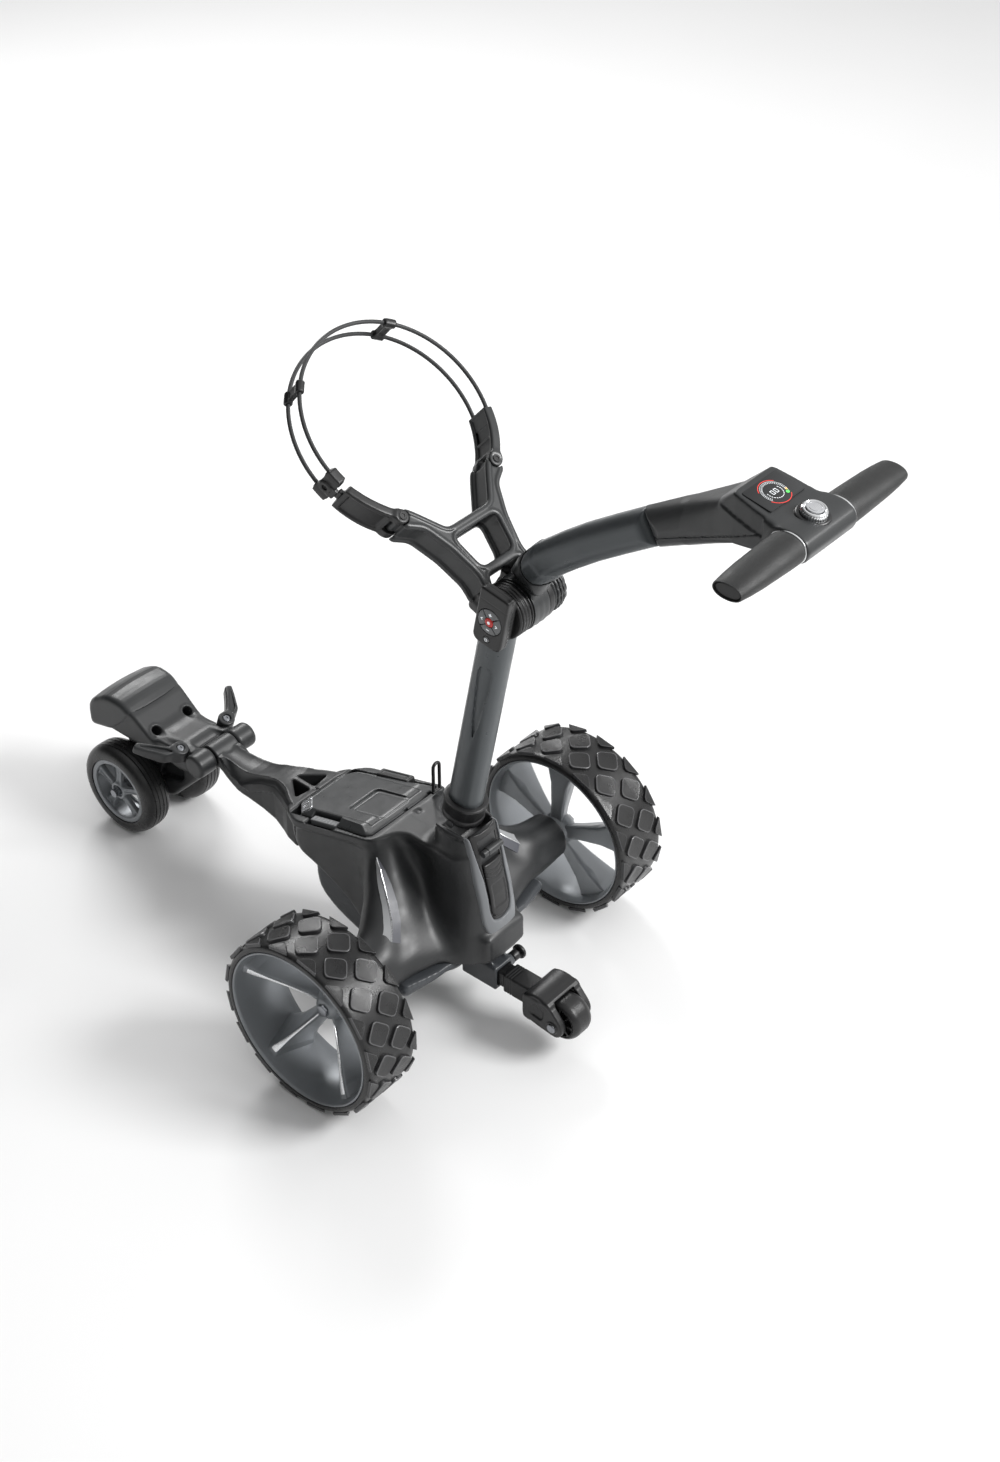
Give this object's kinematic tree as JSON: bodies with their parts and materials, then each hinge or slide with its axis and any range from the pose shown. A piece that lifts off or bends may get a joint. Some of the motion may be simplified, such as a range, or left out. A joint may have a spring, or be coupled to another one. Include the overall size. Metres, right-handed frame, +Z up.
{
  "type": "electric golf trolley",
  "caption": "Folding electric golf trolley with deep-rimmed driven rear wheels, twin front wheels, battery tray, leaning mast, tee handle with dial, bag hoop and anti-tip wheel.",
  "frame": {"origin": "on the ground at the centre of the trolley's bounding box, wheels resting on the ground", "axes": "+X to the trolley's right, +Y forwards towards the twin front wheels, +Z up"},
  "size_m": [0.59, 1.1758, 0.965],
  "materials": {
    "body_plastic": "satin graphite moulded plastic",
    "tube_paint": "satin graphite-grey powder coat",
    "rim_plastic": "satin mid-grey moulded plastic",
    "tyre_rubber": "matt black rubber",
    "silver_trim": "satin silver",
    "steel": "brushed",
    "grip_rubber": "soft matt rubber with fine grain",
    "black_plastic": "matt black moulded plastic",
    "lid_plastic": "satin gunmetal",
    "screen_glass": "gloss black display window",
    "chrome": "polished dial cap",
    "red_button": "gloss red",
    "key_grey": "matt grey",
    "circuit_board": "solder mask green",
    "cell_wrap": "blue shrink sleeve",
    "cord_rubber": "elastic cord sleeve"
  },
  "bodies": {
    "chassis": {"lower_body": "body_plastic", "upper_body": "body_plastic", "front_arm": "tube_paint", "axle_housings": "black_plastic", "wheel_bearings": "steel", "drive_motors": "steel", "controller_board": "circuit_board", "side_accents": "silver_trim", "latch_bezel": "rim_plastic", "hinge_pins": "steel"},
    "frame_catch": {"frame_catch": "black_plastic"},
    "battery": {"battery_case": "black_plastic", "battery_lid": "lid_plastic", "battery_cells": "cell_wrap"},
    "battery_button": {"battery_button": "key_grey"},
    "latch_lever": {"latch_lever": "black_plastic"},
    "mast": {"mast_tube": "tube_paint", "mast_collar": "black_plastic", "joint_barrel": "black_plastic", "handle_pivot_pin": "steel", "bag_frame": "body_plastic"},
    "height_dial": {"height_dial": "black_plastic"},
    "handle": {"handle_tube": "tube_paint", "console_housing": "body_plastic", "console_screen": "screen_glass", "tee_core": "steel", "grips": "grip_rubber", "grip_rings": "chrome", "dial_base": "black_plastic"},
    "control_dial": {"control_dial": "chrome"},
    "dial_button": {"dial_button": "silver_trim"},
    "paddle_left": {"paddle_left": "body_plastic"},
    "hoop": {"paddle_right": "body_plastic", "hoop_cords": "cord_rubber", "hoop_fittings": "black_plastic"},
    "remote": {"remote_handset": "black_plastic"},
    "remote_keypad": {"remote_keypad": "key_grey"},
    "remote_stop": {"remote_stop_button": "red_button"},
    "remote_power": {"remote_power_button": "key_grey"},
    "bag_rest": {"bag_rest_housing": "body_plastic", "bag_rest_pad": "body_plastic", "front_axle": "steel"},
    "wing_left": {"wing_left": "body_plastic"},
    "wing_right": {"wing_right": "body_plastic"},
    "front_wheel_left": {"front_tyre_left": "tyre_rubber", "front_rim_left": "rim_plastic"},
    "front_wheel_right": {"front_tyre_right": "tyre_rubber", "front_rim_right": "rim_plastic"},
    "rear_wheel_left": {"rear_tyre_left": "tyre_rubber", "rear_rim_left": "rim_plastic", "axle_left": "steel"},
    "rear_wheel_right": {"rear_tyre_right": "tyre_rubber", "rear_rim_right": "rim_plastic", "axle_right": "steel"},
    "antitip_leg": {"antitip_arm": "black_plastic", "antitip_fork": "black_plastic", "antitip_axle": "steel"},
    "antitip_wheel": {"antitip_wheel": "tyre_rubber"},
    "pull_pin": {"pull_pin": "steel", "pull_knob": "black_plastic"}
  },
  "joints": [
    {"name": "rear_wheel_left_spin", "type": "hinge", "parent": "chassis", "child": "rear_wheel_left", "pos_m": [-0.25, -0.06525, 0.128], "axis": [1, 0, 0], "continuous": true},
    {"name": "rear_wheel_right_spin", "type": "hinge", "parent": "chassis", "child": "rear_wheel_right", "pos_m": [0.25, -0.06525, 0.128], "axis": [1, 0, 0], "continuous": true},
    {"name": "mast_fold", "type": "hinge", "parent": "chassis", "child": "mast", "pos_m": [0, -0.08725, 0.306], "axis": [-1, 0, 0], "range_deg": [0, 95]},
    {"name": "front_fold", "type": "hinge", "parent": "chassis", "child": "bag_rest", "pos_m": [0, 0.36445, 0.181], "axis": [-1, 0, 0], "range_deg": [0, 80.75]},
    {"name": "handle_fold", "type": "hinge", "parent": "mast", "child": "handle", "pos_m": [0, -0.18147, 0.67891], "axis": [1, 0, 0], "range_deg": [0, 120]},
    {"name": "height_dial_turn", "type": "hinge", "parent": "mast", "child": "height_dial", "pos_m": [0.035, -0.18147, 0.67891], "axis": [1, 0, 0], "continuous": true},
    {"name": "latch_lever_pull", "type": "hinge", "parent": "chassis", "child": "latch_lever", "pos_m": [0, -0.15125, 0.204], "axis": [1, 0, 0], "range_deg": [0, 20], "stiffness_Nm_per_rad": 0.6},
    {"name": "battery_lift", "type": "slide", "parent": "chassis", "child": "battery", "axis": [0, -0.2689, -0.9632], "range_m": [-0.11, 0]},
    {"name": "battery_button_press", "type": "slide", "parent": "battery", "child": "battery_button", "axis": [1, 0, 0], "range_m": [0, 0.003], "stiffness_N_per_m": 400},
    {"name": "frame_catch_swing", "type": "hinge", "parent": "chassis", "child": "frame_catch", "pos_m": [0.055, 0.00675, 0.262], "axis": [-1, 0, 0], "range_deg": [-25, 60]},
    {"name": "paddle_left_swing", "type": "hinge", "parent": "mast", "child": "paddle_left", "pos_m": [-0.08228, -0.07016, 0.7851], "axis": [0, -0.6547, 0.7559], "range_deg": [0, 12]},
    {"name": "hoop_swing", "type": "hinge", "parent": "mast", "child": "hoop", "pos_m": [0.08228, -0.07016, 0.7851], "axis": [0, 0.6547, -0.7559], "range_deg": [0, 8]},
    {"name": "remote_detach", "type": "slide", "parent": "mast", "child": "remote", "axis": [-1, 0, 0], "range_m": [0, 0.06]},
    {"name": "keypad_press", "type": "slide", "parent": "remote", "child": "remote_keypad", "axis": [1, 0, 0], "range_m": [0, 0.0008], "stiffness_N_per_m": 300},
    {"name": "stop_press", "type": "slide", "parent": "remote", "child": "remote_stop", "axis": [1, 0, 0], "range_m": [0, 0.0009], "stiffness_N_per_m": 300},
    {"name": "power_press", "type": "slide", "parent": "remote", "child": "remote_power", "axis": [1, 0, 0], "range_m": [0, 0.0009], "stiffness_N_per_m": 300},
    {"name": "control_dial_turn", "type": "hinge", "parent": "handle", "child": "control_dial", "pos_m": [0, -0.56325, 0.9485], "axis": [0, -0.1736, 0.9848], "continuous": true},
    {"name": "dial_press", "type": "slide", "parent": "control_dial", "child": "dial_button", "axis": [0, 0.1736, -0.9848], "range_m": [0, 0.0015], "stiffness_N_per_m": 400},
    {"name": "front_wheel_left_spin", "type": "hinge", "parent": "bag_rest", "child": "front_wheel_left", "pos_m": [-0.051, 0.51575, 0.0719], "axis": [1, 0, 0], "continuous": true},
    {"name": "front_wheel_right_spin", "type": "hinge", "parent": "bag_rest", "child": "front_wheel_right", "pos_m": [0.051, 0.51575, 0.0719], "axis": [1, 0, 0], "continuous": true},
    {"name": "wing_left_fold", "type": "hinge", "parent": "bag_rest", "child": "wing_left", "pos_m": [-0.045, 0.40075, 0.186], "axis": [0, -0.342, 0.9397], "range_deg": [0, 30]},
    {"name": "wing_right_fold", "type": "hinge", "parent": "bag_rest", "child": "wing_right", "pos_m": [0.045, 0.40075, 0.186], "axis": [0, 0.342, -0.9397], "range_deg": [0, 30]},
    {"name": "antitip_slide", "type": "slide", "parent": "chassis", "child": "antitip_leg", "axis": [0, -1, 0], "range_m": [0, 0.045]},
    {"name": "antitip_wheel_spin", "type": "hinge", "parent": "antitip_leg", "child": "antitip_wheel", "pos_m": [0, -0.26425, 0.062], "axis": [1, 0, 0], "continuous": true},
    {"name": "pull_pin_pull", "type": "slide", "parent": "chassis", "child": "pull_pin", "axis": [1, 0, 0], "range_m": [0, 0.006], "stiffness_N_per_m": 300}
  ],
  "couplings": [
    {"joint": "front_fold", "follows": "mast_fold", "ratio": 0.85}
  ]
}
